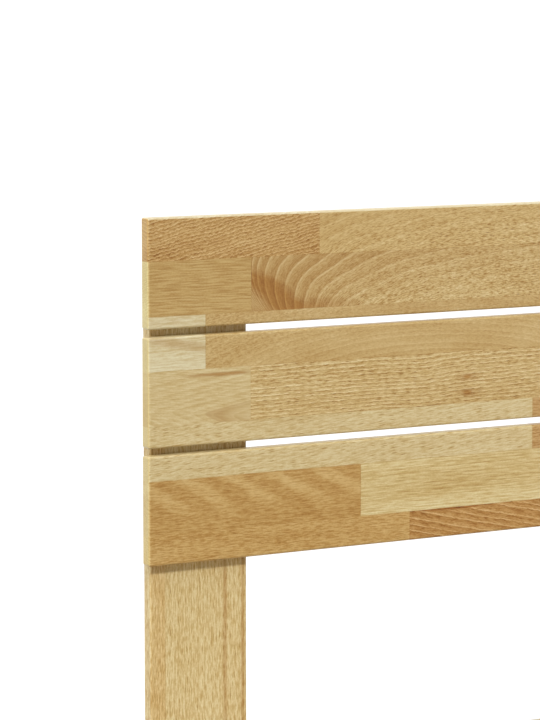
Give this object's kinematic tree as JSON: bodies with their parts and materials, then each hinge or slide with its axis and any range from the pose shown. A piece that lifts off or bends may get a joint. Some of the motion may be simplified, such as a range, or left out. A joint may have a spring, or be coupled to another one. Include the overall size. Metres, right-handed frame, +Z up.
{
  "type": "wooden bed frame",
  "caption": "Bed frame of laminated beech: a headboard of wide boards on flat posts, side rails, foot board, ledges, slats and a centre beam with a levelling leg.",
  "frame": {"origin": "on the floor, at the middle of the outline seen from above", "axes": "+X across the bed to the right as seen from the foot end, +Y towards the headboard, +Z up"},
  "size_m": [1.492, 2.092, 1],
  "materials": {
    "laminated_beech": "oiled satin",
    "solid_beech": "planed, unfinished",
    "dowel_beech": "turned, fluted",
    "zinc_steel": "zinc plated",
    "zinc_alloy": "cast",
    "galvanised_sheet": "galvanised",
    "black_plastic": "moulded",
    "grey_felt": "needle felt"
  },
  "bodies": {
    "frame": {"centre_beam": "solid_beech", "centre_beam_shoe_foot": "galvanised_sheet", "centre_beam_shoe_head": "galvanised_sheet", "centre_leg": "solid_beech", "centre_leg_hanger_bolt": "zinc_steel", "centre_leg_insert": "zinc_alloy", "foot_board": "laminated_beech", "foot_board_screws": "zinc_steel", "foot_post_left": "laminated_beech", "foot_post_right": "laminated_beech", "head_post_left": "laminated_beech", "head_post_right": "laminated_beech", "head_rail": "laminated_beech", "head_rail_screws": "zinc_steel", "headboard_board_bottom": "laminated_beech", "headboard_board_middle": "laminated_beech", "headboard_board_top": "laminated_beech", "headboard_screws": "zinc_steel", "ledge_screws": "zinc_steel", "post_glides": "grey_felt", "rail_barrel_nuts": "zinc_alloy", "rail_bolts": "zinc_steel", "rail_dowels": "dowel_beech", "shoe_screws": "zinc_steel", "side_rail_left": "laminated_beech", "side_rail_right": "laminated_beech", "slat_01": "solid_beech", "slat_02": "solid_beech", "slat_03": "solid_beech", "slat_04": "solid_beech", "slat_05": "solid_beech", "slat_06": "solid_beech", "slat_07": "solid_beech", "slat_08": "solid_beech", "slat_09": "solid_beech", "slat_10": "solid_beech", "slat_11": "solid_beech", "slat_12": "solid_beech", "slat_13": "solid_beech", "slat_14": "solid_beech", "slat_15": "solid_beech", "slat_16": "solid_beech", "slat_ledge_left": "solid_beech", "slat_ledge_right": "solid_beech", "slat_screws": "zinc_steel"},
    "levelling_foot": {"levelling_foot_stud": "zinc_steel", "levelling_foot_pad": "black_plastic"}
  },
  "joints": [
    {"name": "levelling_foot_screw", "type": "slide", "parent": "frame", "child": "levelling_foot", "axis": [0, 0, 1], "range_m": [0, 0.015]}
  ]
}
